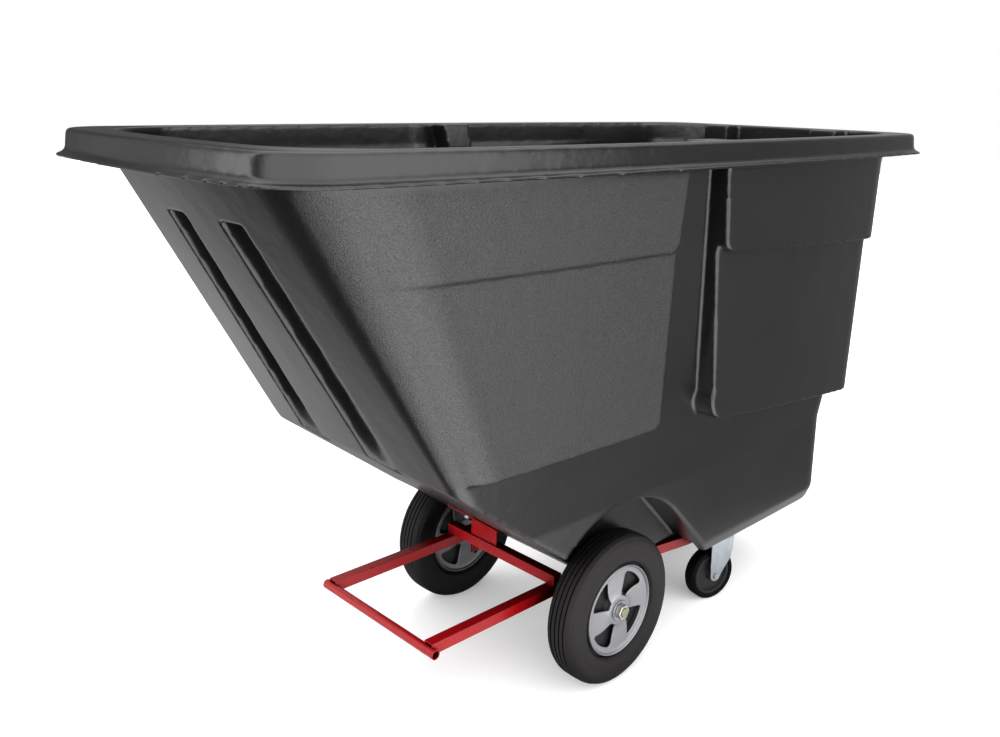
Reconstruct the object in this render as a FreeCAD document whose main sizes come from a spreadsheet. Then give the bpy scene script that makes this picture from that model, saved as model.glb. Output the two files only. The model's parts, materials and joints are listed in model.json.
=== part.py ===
import FreeCAD, Part

import math
import os

import Sketcher
from FreeCAD import Placement, Rotation, Vector

# Tilt truck for waste: a moulded tub on a tube frame, two large wheels on a
# fixed axle and two swivel casters under the tall end. Millimetres, +Z up.
# X runs from the low dumping end to the tall end, the left side is -Y.
# The origin is on the floor below the centre of the bounding box.

doc = FreeCAD.newDocument("tilt_truck")
sheet = doc.addObject("Spreadsheet::Sheet", "dims")

DRIVING = [
    ("rim_length", 1800.0, "over the rim band, without the lip"),
    ("rim_half_width", 410.0, "at the widest place of the rim band"),
    ("rim_height", 1110.0, "floor to the top of the rim"),
    ("rim_band", 46.0, "height of the rim band"),
    ("rim_lip", 16.5, "how far the lip stands out from the band"),
    ("wall", 6.0, "thickness of the moulded wall"),
    ("front_run", 0.597, "horizontal run of the sloping front per mm of height"),
    ("under_drop", 0.727, "drop of the sloping underside per mm of length"),
    ("axle_x", -54.0, "axle position along the truck"),
    ("axle_radius", 9.5, "axle bar"),
    ("axle_half", 279.0, "half of the axle length"),
    ("wheel_radius", 158.75, "twelve inch class wheel"),
    ("wheel_centre", 235.0, "middle of the tyre from the centre line"),
    ("tyre_half", 35.0, "half of the tyre width"),
    ("rim_seat", 100.0, "radius where the tyre sits on the core"),
    ("disc_radius", 96.0, "radius of the hub discs"),
    ("arch_radius", 238.0, "wheel arch around the axle"),
    ("arch_wall", 190.0, "inner wall of the wheel arch from the centre line"),
    ("rail_size", 22.2, "square tube of the frame"),
    ("rail_wall", 2.0, "tube wall"),
    ("rail_top", 203.4, "height of the top face of the rails"),
    ("rail_centre", 152.2, "rail line from the centre line at the front"),
    ("rail_spread", 197.0, "rail line from the centre line at the rear"),
    ("rest_x", -468.3, "front rest tube along the truck"),
    ("rest_radius", 9.5, "front rest tube outside"),
    ("rest_half", 173.2, "half of the front rest tube length"),
    ("cross_front", -146.0, "front face of the cross tube"),
    ("caster_x", 418.0, "swivel axis along the truck"),
    ("caster_trail", 35.0, "offset of the caster wheel from the swivel axis"),
    ("caster_radius", 63.5, "five inch caster wheel"),
    ("caster_half", 16.0, "half of the caster tread width"),
    ("bolt_radius", 4.0, "M8 class bolts"),
    ("bolt_play", 0.4, "clearance around a bolt in its hole"),
    ("rail_bolt_front", 120.0, "first bolt through a rail into the tub"),
    ("rail_bolt_rear", 350.0, "second bolt through a rail into the tub"),
    ("tub_bolt_x", -190.0, "bolt through the sloping underside, along the truck"),
    ("tub_bolt_y", 50.0, "the same bolt, to the right of the centre line"),
    ("tab_width", 80.0, "bracket between the cross tube and the tub"),
    ("plate_bolt", 38.0, "caster plate bolts from the swivel axis"),
    ("seat_gap", 1.6, "packing between the rails and the tub"),
]
for number, (alias, size, note) in enumerate(DRIVING, start=1):
    sheet.set("A%d" % number, note)
    sheet.set("B%d" % number, str(size))
    sheet.setAlias("B%d" % number, alias)
doc.recompute()

NODES = []
SIDES = (("left", -1), ("right", 1))


def dim(alias):
    return float(sheet.get(alias))


def bind(item, **links):
    """Tie properties of an object to formulas on the sheet."""
    for prop, formula in links.items():
        item.setExpression(prop.replace("__", "."), str(formula))


def at(item, x=0, y=0, z=0):
    """Tie the position of an object to formulas on the sheet."""
    for axis, formula in (("x", x), ("y", y), ("z", z)):
        item.setExpression("Placement.Base." + axis, str(formula))


def node(item, label):
    item.Label = label
    NODES.append(item)
    return item


def box(name, length, width, height, x, y, z):
    item = doc.addObject("Part::Box", name)
    bind(item, Length=length, Width=width, Height=height)
    at(item, x, y, z)
    return item


def rod(name, radius, height, x, y, z, axis="z"):
    """A cylinder that starts at x, y, z and runs along +axis."""
    item = doc.addObject("Part::Cylinder", name)
    turns = {"x": (0, 1, 0, 90), "y": (1, 0, 0, -90), "z": (0, 0, 1, 0)}
    vx, vy, vz, angle = turns[axis]
    item.Placement = Placement(Vector(0, 0, 0), Rotation(Vector(vx, vy, vz), angle))
    bind(item, Radius=radius, Height=height)
    at(item, x, y, z)
    return item


def hexagon(name, radius, height, x, y, z, axis="z"):
    """A six sided prism that starts at x, y, z and runs along +axis."""
    item = doc.addObject("Part::Prism", name)
    item.Polygon = 6
    turns = {"x": (0, 1, 0, 90), "y": (1, 0, 0, -90), "z": (0, 0, 1, 0)}
    vx, vy, vz, angle = turns[axis]
    item.Placement = Placement(Vector(0, 0, 0), Rotation(Vector(vx, vy, vz), angle))
    bind(item, Circumradius=radius, Height=height)
    at(item, x, y, z)
    return item


def fuse(name, items):
    item = doc.addObject("Part::MultiFuse", name)
    item.Shapes = items
    return item


def cut(name, base, tool):
    item = doc.addObject("Part::Cut", name)
    item.Base = base
    item.Tool = tool
    return item


def drawn(sketch, points):
    """Draw a closed outline with every corner dimensioned from the origin.

    A coordinate is a number, or (sign, alias, offset) tied to the sheet."""
    def size(spot):
        if isinstance(spot, tuple):
            return spot[0] * dim(spot[1]) + spot[2]
        return float(spot)

    corners = [Vector(size(u), size(v), 0) for u, v in points]
    count = len(corners)
    for i in range(count):
        sketch.addGeometry(Part.LineSegment(corners[i], corners[(i + 1) % count]), False)
    for i in range(count):
        sketch.addConstraint(Sketcher.Constraint("Coincident", i, 2, (i + 1) % count, 1))
    for i, (u, v) in enumerate(points):
        for kind, spot, line in (("DistanceX", u, -2), ("DistanceY", v, -1)):
            if abs(size(spot)) < 1e-9:
                sketch.addConstraint(Sketcher.Constraint("PointOnObject", i, 1, line))
                continue
            index = sketch.addConstraint(Sketcher.Constraint(kind, -1, 1, i, 1, size(spot)))
            if isinstance(spot, tuple):
                formula = "%d * dims.%s + %s" % (spot[0], spot[1], spot[2])
                sketch.setExpression("Constraints[%d]" % index, formula)


def origin_plane(body, role):
    return [part for part in body.Origin.OriginFeatures if part.Role == role][0]


def turned(name, points):
    """A body turned about its own Z axis from (radius, height) corners."""
    body = doc.addObject("PartDesign::Body", name)
    sketch = body.newObject("Sketcher::SketchObject", name + "_profile")
    sketch.AttachmentSupport = [(origin_plane(body, "XZ_Plane"), "")]
    sketch.MapMode = "FlatFace"
    drawn(sketch, points)
    turn = body.newObject("PartDesign::Revolution", name + "_turn")
    turn.Profile = sketch
    turn.ReferenceAxis = (sketch, ["V_Axis"])
    turn.Angle = 360.0
    body.Tip = turn
    doc.recompute()
    return body


def padded(name, points, height):
    """A body padded up from an outline on its XY plane."""
    body = doc.addObject("PartDesign::Body", name)
    sketch = body.newObject("Sketcher::SketchObject", name + "_outline")
    sketch.AttachmentSupport = [(origin_plane(body, "XY_Plane"), "")]
    sketch.MapMode = "FlatFace"
    drawn(sketch, points)
    pad = body.newObject("PartDesign::Pad", name + "_pad")
    pad.Profile = sketch
    pad.setExpression("Length", str(height))
    body.Tip = pad
    doc.recompute()
    return body


def stand(body, side, x, y, z):
    """Lay a turned body along Y, its own +Z pointing outwards, at a tied place."""
    body.Placement = Placement(Vector(0, 0, 0), Rotation(Vector(1, 0, 0), -90 * side))
    at(body, x, y, z)
    return body


# ---------------------------------------------------------------- the tub


def bowed_outline(z, x0, x1, half, bows, radii, grow=0.0):
    """Closed plan outline with bowed sides and rounded corners at height z.

    bows are the rises of the sides, the front and the rear; radii are the
    front and rear corner radii; grow pushes the outline out evenly."""
    x0 -= grow
    x1 += grow
    half += grow
    side_bow, front_bow, rear_bow = bows
    front_r = radii[0] + grow
    rear_r = radii[1] + grow
    mid = (x0 + x1) / 2
    reach = (x1 - x0) / 2

    def arc_radius(chord_half, bow):
        return (chord_half ** 2 + bow ** 2) / (2 * bow)

    side = (Vector(mid, -half + arc_radius(reach, side_bow), z), arc_radius(reach, side_bow))
    front = (Vector(x0 + arc_radius(half, front_bow), 0, z), arc_radius(half, front_bow))
    rear = (Vector(x1 - arc_radius(half, rear_bow), 0, z), arc_radius(half, rear_bow))

    def corner(end, r, corner_at):
        ca, ra = side[0], side[1] - r
        cb, rb = end[0], end[1] - r
        gap = cb - ca
        span = gap.Length
        along = (ra ** 2 - rb ** 2 + span ** 2) / (2 * span)
        across = math.sqrt(max(ra ** 2 - along ** 2, 0.0))
        unit = gap / span
        normal = Vector(-unit.y, unit.x, 0)
        options = [ca + unit * along + normal * across, ca + unit * along - normal * across]
        centre = min(options, key=lambda spot: (spot - corner_at).Length)
        on_side = ca + (centre - ca).normalize() * side[1]
        on_end = cb + (centre - cb).normalize() * end[1]
        bisector = ((on_side - centre) + (on_end - centre)).normalize()
        return on_side, centre + bisector * r, on_end

    fs, fm, fe = corner(front, front_r, Vector(x0, -half, z))
    rs, rm, re = corner(rear, rear_r, Vector(x1, -half, z))

    def flip(spot):
        return Vector(spot.x, -spot.y, spot.z)

    arcs = [
        (flip(fe), Vector(x0, 0, z), fe),
        (fe, fm, fs),
        (fs, Vector(mid, -half, z), rs),
        (rs, rm, re),
        (re, Vector(x1, 0, z), flip(re)),
        (flip(re), flip(rm), flip(rs)),
        (flip(rs), Vector(mid, half, z), flip(fs)),
        (flip(fs), flip(fm), flip(fe)),
    ]
    return Part.Wire([Part.Arc(*three).toShape() for three in arcs])


def stack(levels, grow=0.0):
    wires = [bowed_outline(*level, grow=grow) for level in levels]
    return Part.makeLoft(wires, True, True)


def slab_xz(points, y0, y1):
    """A prism along Y from corners given as (x, z)."""
    wire = Part.makePolygon([Vector(x, y0, z) for x, z in points + points[:1]])
    return Part.Face(wire).extrude(Vector(0, y1 - y0, 0))


def soft_region(left, bottom, lean, radius, at_front, tilt=0.0):
    """Region of the XZ plane above bottom and on one side of a leaning edge.

    The lower corner is rounded. lean is the shift of the edge per mm down and
    tilt the rise of the bottom per mm along the truck."""
    top = 1200.0
    drop = top - bottom
    edge_low = left + lean * drop
    unit = Vector(edge_low - left, 0, bottom - top).normalize()
    away = -1500.0 if at_front else 1500.0
    turn = 1.0 if away > 0 else -1.0
    a = Vector(edge_low, -600, bottom) - unit * radius
    b = Vector(edge_low + turn * radius, -600, bottom + turn * radius * tilt)
    soft = (a + b) * 0.5 + (Vector(edge_low, -600, bottom) - (a + b) * 0.5) * 0.58
    far = Vector(away, -600, bottom + tilt * (away - edge_low))
    far_top = Vector(away, -600, top)
    near_top = Vector(left, -600, top)
    edges = [
        Part.LineSegment(near_top, a).toShape(),
        Part.Arc(a, soft, b).toShape(),
        Part.LineSegment(b, far).toShape(),
        Part.LineSegment(far, far_top).toShape(),
        Part.LineSegment(far_top, near_top).toShape(),
    ]
    return Part.Face(Part.Wire(edges)).extrude(Vector(0, 1200, 0))


FRONT_X = -847.0
SET_BACK = 5.0      # how far raised panels start behind the sloping front
FAR_OUT = 520.0     # clear of the widest part of the tub
UNDER_RIM = dim("rim_height") - dim("rim_band")
NOSE_Z = 556.0
NOSE_X = -543.0
TUB_SEAT = dim("rail_top") + dim("seat_gap")


def front_at(z):
    return FRONT_X + dim("front_run") * (UNDER_RIM - min(z, UNDER_RIM))


def main_levels(top, bottom):
    return [
        (top, FRONT_X, 842, 378, (46, 28, 10), (150, 130)),
        (UNDER_RIM, FRONT_X, 842, 378, (46, 28, 10), (150, 130)),
        (NOSE_Z, front_at(NOSE_Z), 804, 292, (8, 20, 8), (30, 120)),
        (400.0, front_at(400), 805, 268, (8, 16, 8), (40, 125)),
        (bottom + 36, front_at(300), 804, 268, (5, 14, 8), (50, 125)),
        (bottom + 10, front_at(290), 792, 260, (5, 14, 8), (46, 118)),
        (bottom, front_at(280), 768, 246, (5, 14, 8), (40, 104)),
    ]


def band_levels(top):
    return [
        (top, FRONT_X + SET_BACK, 800, 386, (46, 28, 10), (172, 130)),
        (UNDER_RIM, FRONT_X + SET_BACK, 800, 386, (46, 28, 10), (172, 130)),
        (880.0, front_at(880) + SET_BACK, 800, 370, (36, 26, 10), (145, 130)),
    ]


def panel_levels():
    return [
        (960.0, front_at(960) + SET_BACK, 800, 372, (40, 26, 10), (145, 130)),
        (553.0, front_at(553) + SET_BACK, 800, 322, (16, 20, 10), (85, 130)),
    ]


def upper_rear_levels(top):
    return [
        (top, -820, 856, 376, (41, 28, 12), (90, 165)),
        (830.0, -800, 850, 371, (40, 28, 12), (90, 165)),
    ]


def lower_rear_levels():
    return [
        (910.0, -780, 837, 350, (38, 28, 10), (90, 128)),
        (440.0, -760, 830, 340, (36, 28, 10), (90, 128)),
    ]


CHANNEL_LOW = 600.0     # the side channels taper to nothing here
CHANNEL_HIGH = 1104.0


def between(z, low, high):
    """Value at height z of a line given at the two ends of a side channel."""
    return low + (high - low) * (z - CHANNEL_LOW) / (CHANNEL_HIGH - CHANNEL_LOW)


def side_channels(extra, top):
    """Vertical channels in both sides, wide at the rim and closing downwards."""
    shapes = []
    for side in (-1, 1):
        out = side * FAR_OUT
        wires = []
        for z in (CHANNEL_LOW - extra, top):
            front = between(z, 103, -25) - extra
            rear = between(z, 108, 45) + extra
            floor = side * (between(z, 299, 338) - extra)
            ring = [Vector(front, floor, z), Vector(rear, floor, z)]
            ring += [Vector(rear, out, z), Vector(front, out, z)]
            wires.append(Part.makePolygon(ring + ring[:1]))
        shapes.append(Part.makeLoft(wires, True, True))
    return shapes


def rear_channels(extra, top):
    shapes = []
    for side in (-1, 1):
        corner = Vector(800 - extra, side * 155 - 30 - extra, 545 - extra)
        shapes.append(Part.makeBox(300, 60 + 2 * extra, top - corner.z, corner))
    return shapes


def face_slots(extra):
    """Two troughs down the sloping front, open at the lower end."""
    run = dim("front_run")
    down = Vector(run, 0, -1).normalize()
    inward = Vector(1, 0, run).normalize()
    shapes = []
    for side in (-1, 1):
        top_z, low_z = 987.0 + extra, 470.0
        rings = []
        for z, inner, outer in ((top_z, 52, 122), (low_z, 72, 154)):
            spot = Vector(front_at(UNDER_RIM) + run * (UNDER_RIM - z), 0, z)
            depth = 34.0 + extra
            ring = []
            for y, push in ((inner, -80), (outer, -80), (outer, depth), (inner, depth)):
                spread = extra if y == outer else -extra
                inset = 7.0 if push > 0 else 0.0
                y_at = y + spread + (-inset if y == outer else inset)
                ring.append(spot + inward * push + Vector(0, side * y_at, 0))
            rings.append(Part.makePolygon(ring + ring[:1]))
        shapes.append(Part.makeLoft(rings, True, True))
    return shapes


def under_wedge(extra):
    """Everything below the sloping underside and in front of the flat bottom."""
    drop = dim("under_drop")
    lift = extra * math.sqrt(1 + drop ** 2)
    flat_z = TUB_SEAT + extra
    x_low = NOSE_X + (NOSE_Z + lift - flat_z) / drop
    start = (-1200.0, NOSE_Z + lift + drop * (1200.0 + NOSE_X))
    end = (x_low, flat_z)
    return slab_xz([start, end, (x_low, 100.0), (-1200.0, 100.0)], -600, 600)


def wheel_arches(extra):
    """Round arches whose rear edge runs on straight, at 45 degrees, to the bottom."""
    shapes = []
    centre = Vector(dim("axle_x"), 0, dim("wheel_radius"))
    reach = dim("arch_radius") + extra
    touch = centre + Vector(1, 0, 1).normalize() * reach
    low = 60.0
    edge = [(touch.x, touch.z), (touch.x + touch.z - low, low), (centre.x, low), (centre.x, centre.z)]
    for side in (-1, 1):
        wall = side * (dim("arch_wall") - extra)
        start = Vector(centre.x, wall, centre.z)
        shapes.append(Part.makeCylinder(reach, 300, start, Vector(0, side, 0)))
        shapes.append(slab_xz(edge, wall, wall + side * 300))
    return shapes


def frame_recess(extra):
    """The pocket under the tub that sits over the rails."""
    top = TUB_SEAT + extra
    half = 230.0 + extra
    return Part.makeBox(900 + extra, 2 * half, top - 100, Vector(-160, -half, 100))


def hull(inset):
    """The whole solid bounded by the outer skin, shrunk by inset."""
    grow = -inset
    bottom = 180.0 + inset
    top = dim("rim_height") + (30.0 if inset else 0.0)
    slot_top = top if inset else dim("rim_height") - dim("wall")
    body = stack(main_levels(top, bottom), grow)
    band_edge = soft_region(-74 - inset, 915 + inset, -0.03, 26, True)
    band = stack(band_levels(top), grow).common(band_edge)
    panel_edge = soft_region(-112 - inset, 560 + inset, 0.125, 34, True)
    panel = stack(panel_levels(), grow).common(panel_edge)
    upper_edge = soft_region(35 + inset, 900 + inset, 0.103, 44, False, -0.053)
    upper = stack(upper_rear_levels(top), grow).common(upper_edge)
    lower_edge = soft_region(34 + inset, 549 + inset, 0.1175, 52, False, -0.105)
    lower = stack(lower_rear_levels(), grow).common(lower_edge)
    for raised in (band, panel, upper, lower):
        body = body.fuse(raised)
    body = body.cut(under_wedge(inset))
    body = body.cut(frame_recess(inset))
    body = body.cut(wheel_arches(inset))
    body = body.cut(side_channels(inset, slot_top))
    body = body.cut(rear_channels(inset, slot_top))
    return body.cut(face_slots(inset))


def rim_levels(rows):
    half = dim("rim_length") / 2
    wide = dim("rim_half_width")
    levels = []
    for z, out in rows:
        base = (z, -half - out, half + out, wide + out, (41.6, 32, 13), (91.5 + out, 96 + out))
        levels.append(base)
    return levels


def rim():
    top = dim("rim_height")
    low = UNDER_RIM
    lip = dim("rim_lip")
    wall = dim("wall")
    rows = [(low, lip), (low + 3.5, lip), (low + 7, 7.0), (low + 12, 2.4)]
    rows += [(top - 7, 0.0), (top - 2, -2.0), (top, -7.0)]
    solid = stack(rim_levels(rows))
    hollow = stack(rim_levels([(low - 5, -wall + 1.5), (low + 12, -wall + 1.0), (top - wall, -wall)]))
    return solid.cut(hollow)


def under_point(x):
    """Point of the sloping underside at x, on the centre line."""
    return Vector(x, 0, NOSE_Z - dim("under_drop") * (x - NOSE_X))


UNDER_NORMAL = Vector(-dim("under_drop"), 0, -1).normalize()

# Plan line of the rails: parallel at the front, splayed outwards behind the
# axle, parallel again at the casters.
SPLAY_X0 = -20.0
SPLAY = 0.158
SPLAY_X1 = SPLAY_X0 + (dim("rail_spread") - dim("rail_centre")) / SPLAY
RAIL_REAR = 486.0


def rail_line(x):
    """Distance of a rail from the centre line at x."""
    splayed = dim("rail_centre") + max(x - SPLAY_X0, 0.0) * SPLAY
    return min(splayed, dim("rail_spread"))


# Where the bolt of the bracket passes the sloping underside.
SLOPE_BOLT = under_point(dim("tub_bolt_x")) + Vector(0, dim("tub_bolt_y"), 0)
RAIL_BOLTS = [(x, rail_line(x)) for x in (dim("rail_bolt_front"), dim("rail_bolt_rear"))]
BOLT_HOLES = [(SLOPE_BOLT - UNDER_NORMAL * 30, UNDER_NORMAL, 60)]
for name, side in SIDES:
    for x, y in RAIL_BOLTS:
        BOLT_HOLES.append((Vector(x, side * y, 150), Vector(0, 0, 1), 80))

tub_shape = hull(0.0).fuse(rim()).cut(hull(dim("wall")))
for spot, direction, length in BOLT_HOLES:
    tub_shape = tub_shape.cut(Part.makeCylinder(dim("bolt_radius") + 0.5, length, spot, direction))

solids = sorted(tub_shape.Solids, key=lambda solid: solid.Volume)
tub = doc.addObject("Part::Feature", "tub")
tub.Shape = solids[-1]
tub.Placement = Placement()
node(tub, "tub")

# ---------------------------------------------------------------- frame

def rail_outline(side, inner, ends):
    """Plan corners of a rail, pulled in by inner and past the ends by ends."""
    half = dim("rail_size") / 2 - inner
    line = [
        (dim("rest_x") - ends, dim("rail_centre")),
        (SPLAY_X0, dim("rail_centre")),
        (SPLAY_X1, dim("rail_spread")),
        (RAIL_REAR + ends, dim("rail_spread")),
    ]
    shift = half * math.tan(math.atan(SPLAY) / 2)
    outer = [
        (line[0][0], line[0][1] + half),
        (line[1][0] - shift, line[1][1] + half),
        (line[2][0] - shift, line[2][1] + half),
        (line[3][0], line[3][1] + half),
    ]
    inside = [
        (line[3][0], line[3][1] - half),
        (line[2][0] + shift, line[2][1] - half),
        (line[1][0] + shift, line[1][1] - half),
        (line[0][0], line[0][1] - half),
    ]
    return [(x, side * y) for x, y in outer + inside]


RAIL_LOW = "dims.rail_top - dims.rail_size"
REST_Z = "dims.rail_top - 16.5"
for name, side in SIDES:
    outer = padded("rail_solid_" + name, rail_outline(side, 0.0, 0.0), "dims.rail_size")
    at(outer, 0, 0, RAIL_LOW)
    inner = padded("rail_hollow_" + name, rail_outline(side, dim("rail_wall"), 5.0),
                   "dims.rail_size - 2 * dims.rail_wall")
    at(inner, 0, 0, RAIL_LOW + " + dims.rail_wall")
    tube = cut("rail_tube_" + name, outer, inner)
    tools = [rod("rail_cope_" + name, "dims.rest_radius", "200", "dims.rest_x",
                 "%d * dims.rail_centre - 100" % side, REST_Z, "y")]
    for count, (x, y) in enumerate(RAIL_BOLTS):
        tools.append(rod("rail_bolt_hole_%s_%d" % (name, count),
                         "dims.bolt_radius + dims.bolt_play", "60", x, side * y, "150"))
    for count, end in enumerate((-1, 1)):
        tools.append(rod("rail_plate_hole_%s_%d" % (name, count), "3.2", "14",
                         "dims.caster_x + %d * dims.plate_bolt" % end,
                         "%d * dims.rail_spread" % side, "170"))
    rail = cut("frame_rail_" + name, tube, fuse("rail_tools_" + name, tools))
    node(rail, "frame_rail_" + name)

rest_outer = rod("rest_outer", "dims.rest_radius", "2 * dims.rest_half", "dims.rest_x",
                 "-dims.rest_half", REST_Z, "y")
rest_inner = rod("rest_inner", "dims.rest_radius - 1.8", "2 * dims.rest_half + 10", "dims.rest_x",
                 "-dims.rest_half - 5", REST_Z, "y")
node(cut("front_rest_tube", rest_outer, rest_inner), "front_rest_tube")

cross_outer = box("cross_outer", "dims.rail_size", "2 * dims.rail_centre + dims.rail_size",
                  "dims.rail_size", "dims.cross_front", "-dims.rail_centre - dims.rail_size / 2",
                  "dims.rail_top")
cross_inner = box("cross_inner", "dims.rail_size - 2 * dims.rail_wall",
                  "2 * dims.rail_centre + dims.rail_size + 10",
                  "dims.rail_size - 2 * dims.rail_wall", "dims.cross_front + dims.rail_wall",
                  "-dims.rail_centre - dims.rail_size / 2 - 5", "dims.rail_top + dims.rail_wall")
node(cut("front_cross_tube", cross_outer, cross_inner), "front_cross_tube")

rear_outer = box("rear_outer", "dims.rail_size", "2 * dims.rail_spread - dims.rail_size",
                 "dims.rail_size", "%s - dims.rail_size" % RAIL_REAR,
                 "-dims.rail_spread + dims.rail_size / 2", RAIL_LOW)
rear_inner = box("rear_inner", "dims.rail_size - 2 * dims.rail_wall",
                 "2 * dims.rail_spread - dims.rail_size + 10",
                 "dims.rail_size - 2 * dims.rail_wall",
                 "%s - dims.rail_size + dims.rail_wall" % RAIL_REAR,
                 "-dims.rail_spread + dims.rail_size / 2 - 5", RAIL_LOW + " + dims.rail_wall")
node(cut("rear_cross_tube", rear_outer, rear_inner), "rear_cross_tube")

# A bracket stands on the cross tube and carries the sloping underside of the tub.
TAB_THICK = 3.0


def tab_profile():
    """Corners in XZ of the bracket: a leg on the cross tube and a sloping flange."""
    slope = Vector(1, 0, -dim("under_drop")).normalize()
    top_a = under_point(-214.0) + UNDER_NORMAL * 0.2
    top_b = under_point(-121.0) + UNDER_NORMAL * 0.2
    low_a = top_a + UNDER_NORMAL * TAB_THICK
    foot_z = dim("rail_top") + dim("rail_size")
    leg_x = dim("cross_front") + 3.0
    hit = (low_a.z - foot_z) / dim("under_drop")
    leg_top_a = Vector(leg_x, 0, low_a.z - dim("under_drop") * (leg_x - low_a.x))
    leg_b_x = leg_x + TAB_THICK
    leg_top_b = Vector(leg_b_x, 0, low_a.z - dim("under_drop") * (leg_b_x - low_a.x))
    end_low = top_b + UNDER_NORMAL * TAB_THICK
    if end_low.x > low_a.x + hit:
        end_low = Vector(low_a.x + hit, 0, foot_z)
    return [top_a, top_b, end_low, leg_top_b, Vector(leg_b_x, 0, foot_z),
            Vector(leg_x, 0, foot_z), leg_top_a, low_a]


bracket = doc.addObject("PartDesign::Body", "bracket")
bracket_sketch = bracket.newObject("Sketcher::SketchObject", "bracket_profile")
bracket_sketch.AttachmentSupport = [(origin_plane(bracket, "XZ_Plane"), "")]
bracket_sketch.MapMode = "FlatFace"
drawn(bracket_sketch, [(corner.x, corner.z) for corner in tab_profile()])
bracket_pad = bracket.newObject("PartDesign::Pad", "bracket_pad")
bracket_pad.Profile = bracket_sketch
bind(bracket_pad, Length="dims.tab_width")
bracket_pad.Midplane = True
bracket.Tip = bracket_pad
at(bracket, 0, "dims.tub_bolt_y", 0)
bracket_hole = doc.addObject("Part::Cylinder", "bracket_hole")
bind(bracket_hole, Radius="dims.bolt_radius + dims.bolt_play", Height="40")
bracket_hole.Placement = Placement(SLOPE_BOLT - UNDER_NORMAL * 20,
                                   Rotation(Vector(0, 0, 1), UNDER_NORMAL))
node(cut("tub_bracket", bracket, bracket_hole), "tub_bracket")

# ---------------------------------------------------------------- axle line

node(rod("axle", "dims.axle_radius", "2 * dims.axle_half", "dims.axle_x", "-dims.axle_half",
         "dims.wheel_radius", "y"), "axle")

for name, side in SIDES:
    plate = box("hanger_plate_" + name, "60", "5", RAIL_LOW + " - 138", "dims.axle_x - 30",
                "%d * dims.rail_centre - 2.5" % side, "138")
    hole = rod("hanger_hole_" + name, "dims.axle_radius + 0.05", "20", "dims.axle_x",
               "%d * dims.rail_centre - 10" % side, "dims.wheel_radius", "y")
    node(cut("axle_hanger_" + name, plate, hole), "axle_hanger_" + name)

# A wheel, drawn with its own Z along the axle: tyre, core, two pressed discs
# and a bearing sleeve, which all turn together.
SLEEVE = 14.0
SLEEVE_HALF = 27.0
CORE_HALF = 20.5
CLEAR = 0.08


def make_tyre(name):
    groove_half, groove_deep = 1.6, 4.0
    points = [((1, "rim_seat", 0.0), (-1, "tyre_half", 9.0)),
              ((1, "rim_seat", 6.0), (-1, "tyre_half", 3.0)),
              ((1, "rim_seat", 20.0), (-1, "tyre_half", 0.0)),
              ((1, "wheel_radius", -20.0), (-1, "tyre_half", 0.0)),
              ((1, "wheel_radius", -12.0), (-1, "tyre_half", 1.6)),
              ((1, "wheel_radius", -4.2), (-1, "tyre_half", 7.4)),
              ((1, "wheel_radius", -1.1), (-1, "tyre_half", 14.0))]
    for middle in (-16.0, -5.3, 5.3, 16.0):
        points += [((1, "wheel_radius", -0.4 if abs(middle) > 10 else 0.0), middle - groove_half),
                   ((1, "wheel_radius", -groove_deep), middle - groove_half + 0.5),
                   ((1, "wheel_radius", -groove_deep), middle + groove_half - 0.5),
                   ((1, "wheel_radius", -0.4 if abs(middle) > 10 else 0.0), middle + groove_half)]
    points += [((1, "wheel_radius", -1.1), (1, "tyre_half", -14.0)),
               ((1, "wheel_radius", -4.2), (1, "tyre_half", -7.4)),
               ((1, "wheel_radius", -12.0), (1, "tyre_half", -1.6)),
               ((1, "wheel_radius", -20.0), (1, "tyre_half", 0.0)),
               ((1, "rim_seat", 20.0), (1, "tyre_half", 0.0)),
               ((1, "rim_seat", 6.0), (1, "tyre_half", -3.0)),
               ((1, "rim_seat", 0.0), (1, "tyre_half", -9.0))]
    return turned(name, points)


def make_core(name):
    face = CORE_HALF
    points = [(SLEEVE, -face), (34.0, -face), (38.0, -13.0), (84.0, -13.0), (90.0, -face),
              ((1, "rim_seat", 0.0), -face), ((1, "rim_seat", 0.0), face), (90.0, face),
              (84.0, 13.0), (38.0, 13.0), (34.0, face), (SLEEVE, face)]
    return turned(name, points)


def make_disc(name):
    """A pressed disc with a rolled rim, a dished web and a centre boss."""
    edge = "disc_radius"
    return turned(name, [(SLEEVE, CORE_HALF), ((1, edge, 0.0), CORE_HALF), ((1, edge, 0.0), 28.6),
                         ((1, edge, -1.6), 30.2), ((1, edge, -4.4), 30.4), ((1, edge, -7.4), 28.0),
                         ((1, edge, -10.0), 24.6), (82.0, 23.8), (44.0, 24.2), (36.0, 25.2),
                         (31.0, SLEEVE_HALF), (SLEEVE, SLEEVE_HALF)])


def windows():
    """Four openings of the pressed discs, each a sector with soft corners."""
    inner, outer, half_angle, middle = 31.0, 80.0, 19.5, 56.0
    shapes = []
    for count in range(4):
        spots = []
        for radius, share in ((inner, -1), (inner, 0), (inner, 1), (outer, 1), (outer, 0), (outer, -1)):
            spin = math.radians(middle + 90 * count + share * half_angle)
            spots.append(Vector(radius * math.cos(spin), radius * math.sin(spin), 20))
        edges = [Part.Arc(spots[0], spots[1], spots[2]).toShape(),
                 Part.LineSegment(spots[2], spots[3]).toShape(),
                 Part.Arc(spots[3], spots[4], spots[5]).toShape(),
                 Part.LineSegment(spots[5], spots[0]).toShape()]
        block = Part.Face(Part.Wire(edges)).extrude(Vector(0, 0, 20))
        upright = [edge for edge in block.Edges
                   if abs(edge.Vertexes[0].Z - edge.Vertexes[-1].Z) > 10]
        shapes.append(block.makeFillet(7.0, upright))
    return Part.makeCompound(shapes)


window_tool = doc.addObject("Part::Feature", "disc_windows")
window_tool.Shape = windows()
window_tool.Placement = Placement()

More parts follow.
